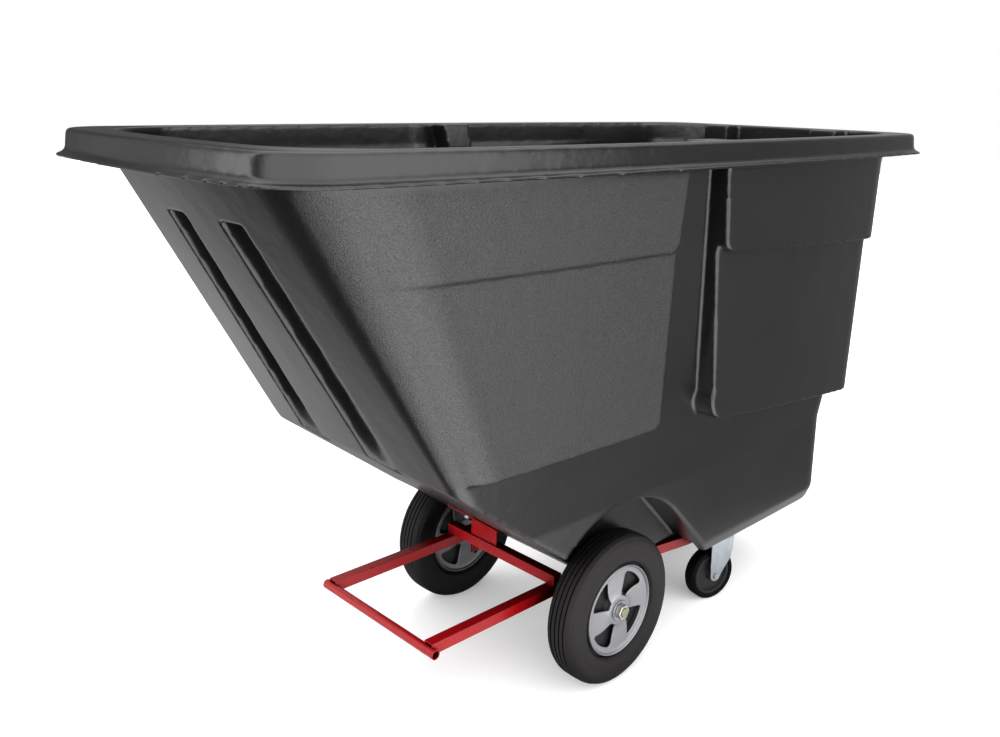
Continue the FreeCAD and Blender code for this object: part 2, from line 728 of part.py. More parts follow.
for name, side in SIDES:
    centre_y = "%d * dims.wheel_centre" % side
    tyre = make_tyre("tyre_" + name)
    stand(tyre, side, "dims.axle_x", centre_y, "dims.wheel_radius")
    node(tyre, "wheel_tyre_" + name)
    core = make_core("core_" + name)
    stand(core, side, "dims.axle_x", centre_y, "dims.wheel_radius")
    node(core, "wheel_core_" + name)
    for face, flip in (("outer", 1), ("inner", -1)):
        disc = make_disc("disc_%s_%s" % (face, name))
        pierced = cut("disc_%s_cut_%s" % (face, name), disc, window_tool)
        stand(pierced, side * flip, "dims.axle_x", centre_y, "dims.wheel_radius")
        node(pierced, "wheel_disc_%s_%s" % (face, name))
    sleeve = turned("sleeve_" + name, [((1, "axle_radius", CLEAR), -SLEEVE_HALF), (SLEEVE, -SLEEVE_HALF),
                                       (SLEEVE, SLEEVE_HALF), ((1, "axle_radius", CLEAR), SLEEVE_HALF)])
    stand(sleeve, side, "dims.axle_x", centre_y, "dims.wheel_radius")
    node(sleeve, "wheel_sleeve_" + name)
    spacer = turned("spacer_" + name, [((1, "axle_radius", 0.05), 0.0), (14.5, 0.0),
                                       (14.5, 53.0), ((1, "axle_radius", 0.05), 53.0)])
    stand(spacer, side, "dims.axle_x", "%d * (dims.rail_centre + 2.6)" % side,
          "dims.wheel_radius")
    node(spacer, "axle_spacer_" + name)
    washer = turned("washer_" + name, [((1, "axle_radius", 0.05), 0.0), (21.0, 0.0),
                                       (21.0, 2.5), ((1, "axle_radius", 0.05), 2.5)])
    stand(washer, side, "dims.axle_x", "%d * (dims.wheel_centre + 27.2)" % side,
          "dims.wheel_radius")
    node(washer, "axle_washer_" + name)
    nut = hexagon("nut_block_" + name, "16.2", "11.5", "0", "0", "0")
    bore = rod("nut_bore_" + name, "dims.axle_radius + 0.05", "20", "0", "0", "-3")
    nut_cut = cut("axle_nut_cut_" + name, nut, bore)
    stand(nut_cut, side, "dims.axle_x", "%d * (dims.wheel_centre + 29.8)" % side,
          "dims.wheel_radius")
    node(nut_cut, "axle_nut_" + name)

# ---------------------------------------------------------------- casters

# A caster is drawn with its king pin on its own Z axis and its wheel behind
# the pin on -X, then set under its rail and turned to its resting heading.
HEADINGS = {"left": -14.0, "right": 9.0}
PLATE_THICK = 4.0
PLATE_UNDER = RAIL_LOW + " - %s" % PLATE_THICK
FORK_HALF = 25.0
LEG_THICK = 3.0
LEG_OUTLINE = [(16.0, 157.0), (13.0, 125.0), (8.0, 100.0), (-12.0, 74.0), (-20.5, 61.0),
               (-24.0, 53.5), (-30.0, 50.0), (-38.0, 49.5), (-45.0, 53.0), (-49.0, 60.0),
               (-51.5, 90.0), (-52.0, 157.0)]


def under_rail(item, name, side):
    """Set a finished piece of a caster on its king pin line, at its heading."""
    turn = Rotation(Vector(0, 0, 1), HEADINGS[name])
    item.Placement = Placement(Vector(0, 0, 0), turn)
    at(item, "dims.caster_x", "%d * dims.rail_spread" % side, 0)
    return item


def on_caster_axle(item, name, side):
    """Lay a turned piece on the caster axle, at the caster's heading."""
    angle = math.radians(HEADINGS[name])
    turn = Rotation(Vector(0, 0, 1), HEADINGS[name])
    item.Placement = Placement(Vector(0, 0, 0), turn * Rotation(Vector(1, 0, 0), -90))
    at(item, "dims.caster_x - %.6f * dims.caster_trail" % math.cos(angle),
       "%d * dims.rail_spread - %.6f * dims.caster_trail" % (side, math.sin(angle)),
       "dims.caster_radius")
    return item


for name, side in SIDES:
    y_line = "%d * dims.rail_spread" % side
    plate = box("plate_blank_" + name, "96", "60", PLATE_THICK, "dims.caster_x - 48",
                y_line + " - 30", PLATE_UNDER)
    race = turned("race_" + name, [(0.0, 0.0), (24.0, 0.0), (30.0, 8.9), (0.0, 8.9)])
    at(race, "dims.caster_x", y_line, "dims.rail_top - dims.rail_size - 12.9")
    pin = rod("king_" + name, "6", "14", "dims.caster_x", y_line, "154.4")
    head = rod("king_head_" + name, "10", "4", "dims.caster_x", y_line, "151")
    holes = []
    for count, end in enumerate((-1, 1)):
        holes.append(rod("plate_hole_%s_%d" % (name, count), "3.2", "20",
                         "dims.caster_x + %d * dims.plate_bolt" % end, y_line, "165"))
    plate_cut = cut("plate_cut_" + name, fuse("plate_all_" + name, [plate, race, pin, head]),
                    fuse("plate_holes_" + name, holes))
    node(plate_cut, "caster_plate_" + name)

    pieces = [turned("crown_" + name, [(6.08, 155.2), (25.0, 155.2), (27.0, 157.2),
                                       (27.0, 164.2), (23.0, 168.2), (6.08, 168.2)])]
    for face, leg_y in (("a", -FORK_HALF), ("b", FORK_HALF - LEG_THICK)):
        body = doc.addObject("PartDesign::Body", "leg_%s_%s" % (face, name))
        sketch = body.newObject("Sketcher::SketchObject", "leg_profile_%s_%s" % (face, name))
        sketch.AttachmentSupport = [(origin_plane(body, "XZ_Plane"), "")]
        sketch.MapMode = "FlatFace"
        drawn(sketch, LEG_OUTLINE)
        pad = body.newObject("PartDesign::Pad", "leg_pad_%s_%s" % (face, name))
        pad.Profile = sketch
        pad.Length = LEG_THICK
        pad.Reversed = True
        body.Tip = pad
        at(body, 0, leg_y, 0)
        pieces.append(body)
    bridge = box("bridge_" + name, "68", 2 * FORK_HALF, LEG_THICK, "-52", -FORK_HALF, "155.2")
    bridge_hole = rod("bridge_hole_" + name, "10.5", "6", "0", "0", "153")
    pieces.append(cut("bridge_cut_" + name, bridge, bridge_hole))
    axle_hole = rod("fork_hole_" + name, "4.1", "80", "-dims.caster_trail", "-40",
                    "dims.caster_radius", "y")
    fork = cut("fork_cut_" + name, fuse("fork_all_" + name, pieces), axle_hole)
    node(under_rail(fork, name, side), "caster_fork_" + name)

    tread = turned("tread_" + name, [(50.0, -13.0), (54.0, (-1, "caster_half", 1.0)),
                                     ((1, "caster_radius", -4.0), (-1, "caster_half", 0.0)),
                                     ((1, "caster_radius", 0.0), (-1, "caster_half", 5.0)),
                                     ((1, "caster_radius", 0.0), (1, "caster_half", -5.0)),
                                     ((1, "caster_radius", -4.0), (1, "caster_half", 0.0)),
                                     (54.0, (1, "caster_half", -1.0)), (50.0, 13.0)])
    node(on_caster_axle(tread, name, side), "caster_tread_" + name)
    hub = turned("hub_" + name, [(6.0, -19.0), (15.0, -19.0), (17.0, -10.0), (42.0, -8.0),
                                 (44.0, -13.0), (50.0, -13.0), (50.0, 13.0), (44.0, 13.0),
                                 (42.0, 8.0), (17.0, 10.0), (15.0, 19.0), (6.0, 19.0)])
    node(on_caster_axle(hub, name, side), "caster_hub_" + name)
    bush = turned("bush_" + name, [(4.1, -21.8), (5.92, -21.8), (5.92, 21.8), (4.1, 21.8)])
    node(on_caster_axle(bush, name, side), "caster_bush_" + name)

    shank = rod("caster_shank_" + name, "4.0", "66", "-dims.caster_trail", "-30.4",
                "dims.caster_radius", "y")
    cap = hexagon("caster_cap_" + name, "7.5", "5.3", "-dims.caster_trail", "-30.4",
                  "dims.caster_radius", "y")
    bolt = fuse("caster_bolt_all_" + name, [shank, cap])
    node(under_rail(bolt, name, side), "caster_bolt_" + name)
    nut = hexagon("caster_nut_blank_" + name, "7.5", "6.5", "-dims.caster_trail", "25.1",
                  "dims.caster_radius", "y")
    nut_hole = rod("caster_nut_hole_" + name, "4.0", "20", "-dims.caster_trail", "20",
                   "dims.caster_radius", "y")
    nut_cut = cut("caster_nut_cut_" + name, nut, nut_hole)
    node(under_rail(nut_cut, name, side), "caster_nut_" + name)

# ---------------------------------------------------------------- fasteners


BOLT_ACROSS = 7.5       # corner radius of a hexagon on the tub and the caster axles
BOLT_HEAD = 5.3
NUT_HEIGHT = 6.5
WASHER_THICK = 2.0
WASHER_RADIUS = 9.0
PLATE_SHANK = 3.0


def aimed(item, spot, direction):
    """Set a finished fastener at spot, its own +Z along direction."""
    item.Placement = Placement(spot, Rotation(Vector(0, 0, 1), direction))
    return item


def hex_bolt(name, across, head, length, radius, spot, direction):
    """Head below spot, shank running from spot along direction."""
    block = hexagon(name + "_head", across, head, "0", "0", "-%s" % head)
    shank = rod(name + "_shank", radius, length, "0", "0", "0")
    return aimed(fuse(name, [block, shank]), spot, direction)


def hex_nut(name, spot, direction):
    block = hexagon(name + "_block", BOLT_ACROSS, NUT_HEIGHT, "0", "0", "0")
    bore = rod(name + "_bore", "dims.bolt_radius", "20", "0", "0", "-5")
    return aimed(cut(name, block, bore), spot, direction)


def washer_ring(name, spot, direction):
    disc = rod(name + "_disc", WASHER_RADIUS, WASHER_THICK, "0", "0", "0")
    bore = rod(name + "_bore", "dims.bolt_radius + dims.bolt_play", "20", "0", "0", "-5")
    return aimed(cut(name, disc, bore), spot, direction)


def group(label, items):
    """Identical fasteners as separate solids under one name."""
    item = doc.addObject("Part::Compound", label)
    item.Links = items
    return node(item, label)


UP = Vector(0, 0, 1)
INWARD = UNDER_NORMAL * -1
below = SLOPE_BOLT + UNDER_NORMAL * (TAB_THICK + 0.2)
inner = SLOPE_BOLT + INWARD * dim("wall")
node(hex_bolt("bracket_bolt", BOLT_ACROSS, BOLT_HEAD, 24, "dims.bolt_radius", below, INWARD),
     "bracket_bolt")
node(hex_nut("bracket_nut", inner + INWARD * WASHER_THICK, INWARD), "bracket_nut")
washers = [washer_ring("slope_washer", inner, INWARD)]
rail_bolts, rail_nuts, plate_bolts = [], [], []
for name, side in SIDES:
    for count, (x, y) in enumerate(RAIL_BOLTS):
        tag = "%s_%d" % (name, count)
        low = Vector(x, side * y, dim("rail_top") - dim("rail_size"))
        above = Vector(x, side * y, TUB_SEAT + dim("wall"))
        rail_bolts.append(hex_bolt("rail_bolt_" + tag, BOLT_ACROSS, BOLT_HEAD, 46,
                                   "dims.bolt_radius", low, UP))
        washers.append(washer_ring("rail_washer_" + tag, above, UP))
        rail_nuts.append(hex_nut("rail_nut_" + tag, above + UP * WASHER_THICK, UP))
    for count, end in enumerate((-1, 1)):
        low = Vector(dim("caster_x") + end * dim("plate_bolt"), side * dim("rail_spread"),
                     dim("rail_top") - dim("rail_size") - PLATE_THICK)
        plate_bolts.append(hex_bolt("plate_bolt_%s_%d" % (name, count), 5.8, 4.0, 8,
                                    PLATE_SHANK, low, UP))
group("tub_washers", washers)
group("tub_bolts_rail", rail_bolts)
group("tub_nuts_rail", rail_nuts)
group("caster_plate_bolts", plate_bolts)

doc.recompute()

# ---------------------------------------------------------------- write out

os.makedirs("parts", exist_ok=True)
for item in doc.Objects:
    bad = [state for state in item.State if state in ("Invalid", "Error")]
    if bad:
        raise RuntimeError("%s is %s" % (item.Name, bad))
whole_box = FreeCAD.BoundBox()
for item in NODES:
    shape = item.Shape
    if shape.isNull() or not shape.isValid() or shape.Volume <= 0:
        raise RuntimeError("%s has no valid solid" % item.Label)
    shape.exportStep("parts/%s.step" % item.Label)
    whole_box.add(shape.BoundBox)
    print("%-24s solids %d volume %.0f" % (item.Label, len(shape.Solids), shape.Volume))
print("box", whole_box)
print("nodes", len(NODES))
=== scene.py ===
"""Looks of the tilt truck: moulded tub, painted frame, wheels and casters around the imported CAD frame."""

import json
import math

import bmesh
import bpy
from mathutils import Matrix, Vector


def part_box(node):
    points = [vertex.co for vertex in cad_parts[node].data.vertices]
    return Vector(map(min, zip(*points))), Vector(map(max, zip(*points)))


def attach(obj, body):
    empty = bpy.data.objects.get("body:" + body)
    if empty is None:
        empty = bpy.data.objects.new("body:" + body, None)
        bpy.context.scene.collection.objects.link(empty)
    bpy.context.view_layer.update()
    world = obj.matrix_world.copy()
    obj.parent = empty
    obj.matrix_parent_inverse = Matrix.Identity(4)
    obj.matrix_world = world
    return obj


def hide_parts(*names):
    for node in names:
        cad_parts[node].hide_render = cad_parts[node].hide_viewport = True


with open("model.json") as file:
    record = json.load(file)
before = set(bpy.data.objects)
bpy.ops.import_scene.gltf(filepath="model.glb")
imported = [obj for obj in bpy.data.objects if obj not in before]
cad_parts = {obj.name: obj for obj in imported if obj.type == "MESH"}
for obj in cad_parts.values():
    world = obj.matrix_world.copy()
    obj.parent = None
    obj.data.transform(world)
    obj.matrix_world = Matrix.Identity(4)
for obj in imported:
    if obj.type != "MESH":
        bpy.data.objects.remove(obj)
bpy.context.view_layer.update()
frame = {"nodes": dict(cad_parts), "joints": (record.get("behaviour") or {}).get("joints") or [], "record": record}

NODES = frame["nodes"]
SIDES = (("left", -1.0), ("right", 1.0))


# ---------------------------------------------------------------- node helpers


class Shader:
    """A small wrapper that builds one node material."""

    def __init__(self, name):
        self.material = bpy.data.materials.new(name)
        self.material.use_nodes = True
        self.tree = self.material.node_tree
        self.bsdf = self.tree.nodes["Principled BSDF"]
        coords = self.tree.nodes.new("ShaderNodeTexCoord")
        self.place = coords.outputs["Object"]
        self.normal = coords.outputs["Normal"]

    def add(self, kind, **settings):
        made = self.tree.nodes.new(kind)
        for key, value in settings.items():
            setattr(made, key, value)
        return made

    def link(self, source, target):
        self.tree.links.new(source, target)

    def noise(self, scale, detail=2.0, rough=0.5, stretch=None):
        made = self.add("ShaderNodeTexNoise")
        made.inputs["Scale"].default_value = scale
        made.inputs["Detail"].default_value = detail
        made.inputs["Roughness"].default_value = rough
        source = self.place
        if stretch:
            mapping = self.add("ShaderNodeMapping")
            mapping.inputs["Scale"].default_value = stretch
            self.link(self.place, mapping.inputs["Vector"])
            source = mapping.outputs["Vector"]
        self.link(source, made.inputs["Vector"])
        return made.outputs["Fac"]

    def ramp(self, source, low, high, start=0.0, end=1.0):
        made = self.add("ShaderNodeMapRange")
        made.inputs["From Min"].default_value = start
        made.inputs["From Max"].default_value = end
        made.inputs["To Min"].default_value = low
        made.inputs["To Max"].default_value = high
        self.link(source, made.inputs["Value"])
        return made.outputs["Result"]

    def math(self, operation, first, second=None):
        made = self.add("ShaderNodeMath", operation=operation)
        for socket, value in zip(made.inputs, (first, second)):
            if value is None:
                continue
            if isinstance(value, (int, float)):
                socket.default_value = value
            else:
                self.link(value, socket)
        return made.outputs["Value"]

    def mix(self, factor, first, second):
        """Blend two colours, each a tuple or a socket."""
        made = self.add("ShaderNodeMix", data_type="RGBA")
        if isinstance(factor, (int, float)):
            made.inputs["Factor"].default_value = factor
        else:
            self.link(factor, made.inputs["Factor"])
        for name, value in (("A", first), ("B", second)):
            socket = [s for s in made.inputs if s.name == name and s.type == "RGBA"][0]
            if isinstance(value, tuple):
                socket.default_value = (*value, 1.0)
            else:
                self.link(value, socket)
        return [s for s in made.outputs if s.type == "RGBA"][0]

    def bump(self, height, strength, distance, base=None):
        made = self.add("ShaderNodeBump")
        made.inputs["Strength"].default_value = strength
        made.inputs["Distance"].default_value = distance
        self.link(height, made.inputs["Height"])
        if base is not None:
            self.link(base, made.inputs["Normal"])
        return made.outputs["Normal"]

    def edges(self, radius):
        """Bevelled normals that soften the crisp edges of a CAD mesh."""
        made = self.add("ShaderNodeBevel")
        made.inputs["Radius"].default_value = radius
        made.samples = 6
        return made.outputs["Normal"]

    def open_air(self, reach, floor):
        """How open a spot is to the room, from ambient occlusion: 1 in the open, floor in a deep recess; the share
        that painted shade darkens by.
        """
        made = self.add("ShaderNodeAmbientOcclusion", samples=6)
        made.inputs["Distance"].default_value = reach
        return self.ramp(made.outputs["AO"], floor, 1.0, 0.25, 0.80)

    def painted_shade(self, colour, share):
        """A colour scaled by a share towards black: painted shade for spots that are closed in."""
        return self.mix(share, (0.0, 0.0, 0.0), colour)

    def set(self, **values):
        for key, value in values.items():
            socket = self.bsdf.inputs[key.replace("_", " ")]
            if isinstance(value, tuple):
                socket.default_value = (*value, 1.0)
            elif isinstance(value, (int, float)):
                socket.default_value = value
            else:
                self.link(value, socket)
        return self


# ---------------------------------------------------------------- materials

# Rear edge of the raised side panels: upright above the step, leaning back below it.
PANEL_STEP_Z = 0.915
PANEL_REAR_X = -0.082
PANEL_LEAN = 0.125


def tub_skin():
    """Black polyethylene: grained on the raised front side panels, satin elsewhere."""
    skin = Shader("tub_skin")
    cloud = skin.noise(4.0, 3.0)
    peel = skin.noise(60.0, 3.0)
    grain = skin.noise(430.0, 3.0, 0.62)
    fine = skin.noise(900.0, 2.0)
    facing = skin.add("ShaderNodeSeparateXYZ")
    skin.link(skin.normal, facing.inputs["Vector"])
    spot = skin.add("ShaderNodeSeparateXYZ")
    skin.link(skin.place, spot.inputs["Vector"])
    sideways = skin.ramp(skin.math("ABSOLUTE", facing.outputs["Y"]), 0.0, 1.0, 0.36, 0.46)
    flank = skin.ramp(skin.math("ABSOLUTE", spot.outputs["Y"]), 0.0, 1.0, 0.205, 0.225)
    sideways = skin.math("MULTIPLY", sideways, flank)
    height = spot.outputs["Z"]
    below = skin.math("MAXIMUM", skin.math("SUBTRACT", PANEL_STEP_Z, height), 0.0)
    rear_edge = skin.math("ADD", skin.math("MULTIPLY", below, PANEL_LEAN), PANEL_REAR_X)
    ahead = skin.ramp(skin.math("SUBTRACT", rear_edge, spot.outputs["X"]), 0.0, 1.0, -0.004, 0.006)
    under_rim = skin.ramp(height, 1.0, 0.0, 1.045, 1.060)
    over_foot = skin.ramp(height, 0.0, 1.0, 0.550, 0.566)
    grained = skin.math("MULTIPLY", skin.math("MULTIPLY", sideways, ahead),
                        skin.math("MULTIPLY", under_rim, over_foot))
    base = skin.mix(cloud, (0.0050, 0.0043, 0.0048), (0.0068, 0.0060, 0.0065))
    base = skin.mix(skin.math("MULTIPLY", skin.ramp(fine, 0.0, 1.0, 0.40, 0.75), grained),
                    base, (0.020, 0.0188, 0.0190))
    rim = skin.ramp(height, 0.0, 1.0, 1.050, 1.060)
    mottle = skin.math("MULTIPLY", skin.noise(26.0, 2.0), rim)
    normal = skin.bump(peel, 0.16, 0.0016)
    normal = skin.bump(mottle, 0.50, 0.0010, normal)
    normal = skin.bump(fine, 0.20, 0.0003, normal)
    coarse = skin.math("MULTIPLY", grain, grained)
    normal = skin.bump(coarse, 0.85, 0.0011, normal)
    rough = skin.math("ADD", skin.ramp(cloud, 0.26, 0.33), skin.math("MULTIPLY", grained, 0.10))
    rough = skin.math("SUBTRACT", rough, skin.math("MULTIPLY", rim, 0.07))
    skin.set(Base_Color=base, Roughness=rough, Normal=normal)
    pits = skin.math("MULTIPLY", skin.ramp(grain, 0.10, -0.24, 0.35, 0.65), grained)
    skin.link(skin.math("SUBTRACT", 0.5, pits), skin.bsdf.inputs["Specular IOR Level"])
    return skin.material


def frame_red():
    """Glossy red powder coat, deeper where the tub shades it."""
    paint = Shader("frame_red")
    cloud = paint.noise(14.0, 2.0)
    peel = paint.noise(420.0, 1.0)
    # Painted shade: the colour and the specular level fall where the tub and rails close a spot in.
    clear = paint.open_air(0.26, 0.06)
    colour = paint.mix(cloud, (0.255, 0.0012, 0.0035), (0.315, 0.0022, 0.0050))
    normal = paint.bump(peel, 0.10, 0.0004, paint.edges(0.002))
    paint.set(Base_Color=paint.painted_shade(colour, clear), Roughness=paint.ramp(cloud, 0.24, 0.32),
              Normal=normal)
    paint.link(paint.math("MULTIPLY", clear, 0.32), paint.bsdf.inputs["Specular IOR Level"])
    return paint.material


def zinc_plate(name, low, high, rough=0.34):
    """Zinc plated steel with a faint spangle."""
    metal = Shader(name)
    cloud = metal.noise(60.0, 3.0)
    fine = metal.noise(700.0, 1.0)
    colour = metal.mix(cloud, low, high)
    normal = metal.bump(fine, 0.08, 0.0003, metal.edges(0.0012))
    metal.set(Base_Color=colour, Metallic=1.0, Roughness=metal.ramp(cloud, rough - 0.06, rough + 0.08),
              Normal=normal)
    return metal.material


def rubber(name, base, rough, shine):
    """Black rubber with a dusty, uneven sheen, and painted shade that darkens its colour and sheen where it is
    closed in.
    """
    tyre = Shader(name)
    cloud = tyre.noise(22.0, 4.0)
    fine = tyre.noise(1100.0, 2.0)
    light = tuple(channel * 1.35 + 0.002 for channel in base)
    colour = tyre.mix(cloud, base, light)
    normal = tyre.bump(fine, 0.3, 0.0004, tyre.edges(0.0015))
    # Painted shade: colour and sheen fall where the tyre is closed in, as under the tub.
    clear = tyre.open_air(0.30, 0.12)
    tyre.set(Base_Color=tyre.painted_shade(colour, clear), Normal=normal,
             Roughness=tyre.ramp(cloud, rough - 0.06, rough + 0.10))
    tyre.link(tyre.math("MULTIPLY", clear, shine), tyre.bsdf.inputs["Specular IOR Level"])
    return tyre.material


def silver_paint():
    """Silver paint on pressed steel, with painted shade that darkens it where it is closed in."""
    paint = Shader("silver_paint")
    cloud = paint.noise(18.0, 3.0)
    flake = paint.noise(1500.0, 1.0)
    colour = paint.mix(cloud, (0.245, 0.245, 0.262), (0.305, 0.305, 0.320))
    normal = paint.bump(flake, 0.06, 0.0003, paint.edges(0.002))
    # Painted shade: the colour falls where the disc is closed in, as on the far wheel under the tub.
    clear = paint.open_air(0.40, 0.25)
    paint.set(Base_Color=paint.painted_shade(colour, clear), Metallic=0.55, Normal=normal,
              Roughness=paint.ramp(cloud, 0.34, 0.42))
    return paint.material


def black_plastic(name, base, rough=0.5):
    plastic = Shader(name)
    cloud = plastic.noise(30.0, 3.0)
    fine = plastic.noise(800.0, 2.0)
    light = tuple(channel * 1.3 for channel in base)
    normal = plastic.bump(fine, 0.2, 0.0004, plastic.edges(0.0015))
    plastic.set(Base_Color=plastic.mix(cloud, base, light), Roughness=rough, Normal=normal)
    plastic.bsdf.inputs["Specular IOR Level"].default_value = 0.22
    return plastic.material


SKIN = tub_skin()
RED = frame_red()
ZINC = zinc_plate("bright_zinc", (0.26, 0.285, 0.315), (0.37, 0.395, 0.42))
YELLOW_ZINC = zinc_plate("yellow_zinc", (0.42, 0.408, 0.365), (0.53, 0.518, 0.475))
AXLE_STEEL = zinc_plate("axle_steel", (0.26, 0.25, 0.17), (0.34, 0.33, 0.24), 0.42)
SILVER = silver_paint()
TYRE = rubber("tyre_rubber", (0.0088, 0.0074, 0.0077), 0.58, 0.18)
CASTER_RUBBER = rubber("caster_rubber", (0.0038, 0.0028, 0.0029), 0.50, 0.09)
CORE = black_plastic("core_plastic", (0.0080, 0.0076, 0.0078))

BY_SLOT = {
    "tub_plastic": SKIN, "frame_paint": RED, "axle_steel": AXLE_STEEL, "tyre_rubber": TYRE,
    "wheel_core_plastic": CORE, "disc_silver": SILVER, "zinc": ZINC, "yellow_zinc": YELLOW_ZINC,
    "caster_rubber": CASTER_RUBBER,
}


def dress_cad_nodes():
    """Every CAD node takes the node material of its record slot."""
    slots = {part["node"]: part["material_slot"] for part in frame["record"]["subparts"]}
    for name, piece in NODES.items():
        piece.data.materials.clear()
        piece.data.materials.append(BY_SLOT[slots[name]])


# ---------------------------------------------------------------- refined meshes


def softened(node, voxel, rounds, body, material, shape=None):
    """A copy of a CAD solid remade with the soft edges of a moulded or pressed piece.

    shape, if given, moves each point of the formed mesh."""
    piece = bpy.data.objects.new(node + "_formed", NODES[node].data.copy())
    bpy.context.scene.collection.objects.link(piece)
    remesh = piece.modifiers.new("remesh", "REMESH")
    remesh.mode = "VOXEL"
    remesh.voxel_size = voxel * 1.0
    soften = piece.modifiers.new("soften", "SMOOTH")
    soften.factor = 0.5
    soften.iterations = rounds
    bpy.context.view_layer.update()
    graph = bpy.context.evaluated_depsgraph_get()
    formed = bpy.data.meshes.new_from_object(piece.evaluated_get(graph))
    piece.modifiers.clear()
    piece.data = formed
    if shape:
        for point in formed.vertices:
            point.co = shape(point.co)
    finish_piece(piece, body, material)
    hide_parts(node)
    return piece


def finish_piece(piece, body, material):
    for face in piece.data.polygons:
        face.use_smooth = True
    piece.data.materials.clear()
    piece.data.materials.append(material)
    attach(piece, body)


def new_piece(name, build, body, material):
    """A piece from a bmesh that has been built already."""
    bmesh.ops.recalc_face_normals(build, faces=build.faces)
    mesh = bpy.data.meshes.new(name)
    build.to_mesh(mesh)
    build.free()
    piece = bpy.data.objects.new(name, mesh)
    bpy.context.scene.collection.objects.link(piece)
    finish_piece(piece, body, material)
    return piece


JOINTS = {joint["name"]: joint for joint in frame["joints"]}
TURN_STEPS = 128


def spun(name, profile, joint_name, body, material):
    """A ring turned about a joint's axis from (radius, offset) corners, in metres."""
    joint = JOINTS[joint_name]
    centre = Vector(joint["pos_m"])
    along = Vector(joint["axis"]).normalized()
    across = along.cross(Vector((0.0, 0.0, 1.0))).normalized()
    upright = across.cross(along)
    build = bmesh.new()
    rings = []
    for step in range(TURN_STEPS):
        angle = 2.0 * math.pi * step / TURN_STEPS
        out = across * math.cos(angle) + upright * math.sin(angle)
        rings.append([build.verts.new(centre + out * radius + along * offset)
                      for radius, offset in profile])
    count = len(profile)
    for step, ring in enumerate(rings):
        following = rings[(step + 1) % TURN_STEPS]
        for i in range(count):
            j = (i + 1) % count
            build.faces.new((ring[i], ring[j], following[j], following[i]))
    return new_piece(name, build, body, material)


def eased(corners, radius, steps=3):
    """Round every corner of a closed (radius, offset) profile."""
    smooth = []
    count = len(corners)
    for i in range(count):
        before = Vector(corners[i - 1])
        here = Vector(corners[i])
        after = Vector(corners[(i + 1) % count])
        reach = min(radius, (here - before).length * 0.45, (after - here).length * 0.45)
        start = here + (before - here).normalized() * reach
        end = here + (after - here).normalized() * reach
        for step in range(steps + 1):
            t = step / steps
            spot = start * (1 - t) ** 2 + here * 2 * t * (1 - t) + end * t ** 2
            smooth.append((spot.x, spot.y))
    return smooth


TREAD_OUT = 0.0635
TREAD_IN = 0.0500
TREAD_HALF = 0.0160


def caster_tread(side):
    """Solid rubber tread with the raised steps of its mould on both faces."""
    face = [(TREAD_IN, 0.0130), (0.0525, 0.0130), (0.0532, 0.0150), (0.0556, 0.0150),
            (0.0563, 0.0138), (0.0578, 0.0138), (0.0585, TREAD_HALF), (0.0600, TREAD_HALF),
            (TREAD_OUT, 0.0112)]
    mirrored = [(radius, -offset) for radius, offset in reversed(face)]
    profile = eased(face + mirrored, 0.0008)
    tread = spun("caster_tread_formed_" + side, profile, "caster_spin_" + side,
                 "caster_wheel_" + side, CASTER_RUBBER)
    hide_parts("caster_tread_" + side)


WELD_RADIUS = 0.0022
WELD_RIPPLE = 0.0035


def weld(name, start, end):
    """A fillet weld: a bead with the ripples of its passes, between two points."""
    start, end = Vector(start), Vector(end)
    run = end - start
    along = run.normalized()
    guide = Vector((0.0, 0.0, 1.0)) if abs(along.z) < 0.9 else Vector((1.0, 0.0, 0.0))
    across = along.cross(guide).normalized()
    upright = across.cross(along)
    count = max(6, int(run.length / WELD_RIPPLE * 5))
    sides = 10
    build = bmesh.new()
    rings = []
    for step in range(count + 1):
        t = step / count
        ripple = 0.5 + 0.5 * math.cos(2.0 * math.pi * t * run.length / WELD_RIPPLE)
        taper = min(1.0, 6.0 * t + 0.25, 6.0 * (1.0 - t) + 0.25)
        radius = WELD_RADIUS * (0.82 + 0.18 * ripple) * taper
        middle = start + run * t
        rings.append([build.verts.new(middle + (across * math.cos(2 * math.pi * i / sides)
                                                + upright * math.sin(2 * math.pi * i / sides)) * radius)
                      for i in range(sides)])
    for ring, following in zip(rings, rings[1:]):
        for i in range(sides):
            j = (i + 1) % sides
            build.faces.new((ring[i], ring[j], following[j], following[i]))
    build.faces.new(rings[0])
    build.faces.new(rings[-1])
    new_piece(name, build, "truck", RED)


def frame_welds():
    """Beads where the cross tube stands on the rails and where the rest tube meets them."""
    cross_low, cross_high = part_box("front_cross_tube")
    rest_low, rest_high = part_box("front_rest_tube")
    for side, sign in SIDES:
        rail_low, rail_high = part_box("frame_rail_" + side)
        hanger_low, hanger_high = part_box("axle_hanger_" + side)
        middle = (hanger_low[1] + hanger_high[1]) / 2
        half = (cross_high[2] - cross_low[2]) / 2
        for label, x in (("front", cross_low[0]), ("rear", cross_high[0])):
            weld("weld_cross_%s_%s" % (label, side), (x, middle - half, cross_low[2]),
                 (x, middle + half, cross_low[2]))
        meet = rest_high[0] - 0.0015
        for label, y in (("inner", middle - half), ("outer", middle + half)):
            weld("weld_rest_%s_%s" % (label, side), (meet, y, rest_low[2] + 0.004),
                 (meet, y, rest_high[2] - 0.002))
        for label, y in (("inner", hanger_low[1]), ("outer", hanger_high[1])):
            weld("weld_hanger_%s_%s" % (label, side), (hanger_low[0] + 0.004, y, hanger_high[2]),
                 (hanger_high[0] - 0.004, y, hanger_high[2]))


TUB_VOXEL = 0.0034
DISC_VOXEL = 0.0013
FORK_VOXEL = 0.0012
NUT_VOXEL = 0.0007


WINDOW_MIDDLE = math.radians(56.0)
WINDOW_TURN = math.radians(11.0)     # how far a window sweeps round from hub to rim
WINDOW_FLARE = math.radians(6.5)     # how much it opens at the rim and closes at the hub
HUB_EDGE, WEB_MIDDLE, WEB_EDGE, BEAD_START, DISC_EDGE = 0.030, 0.0555, 0.082, 0.086, 0.096


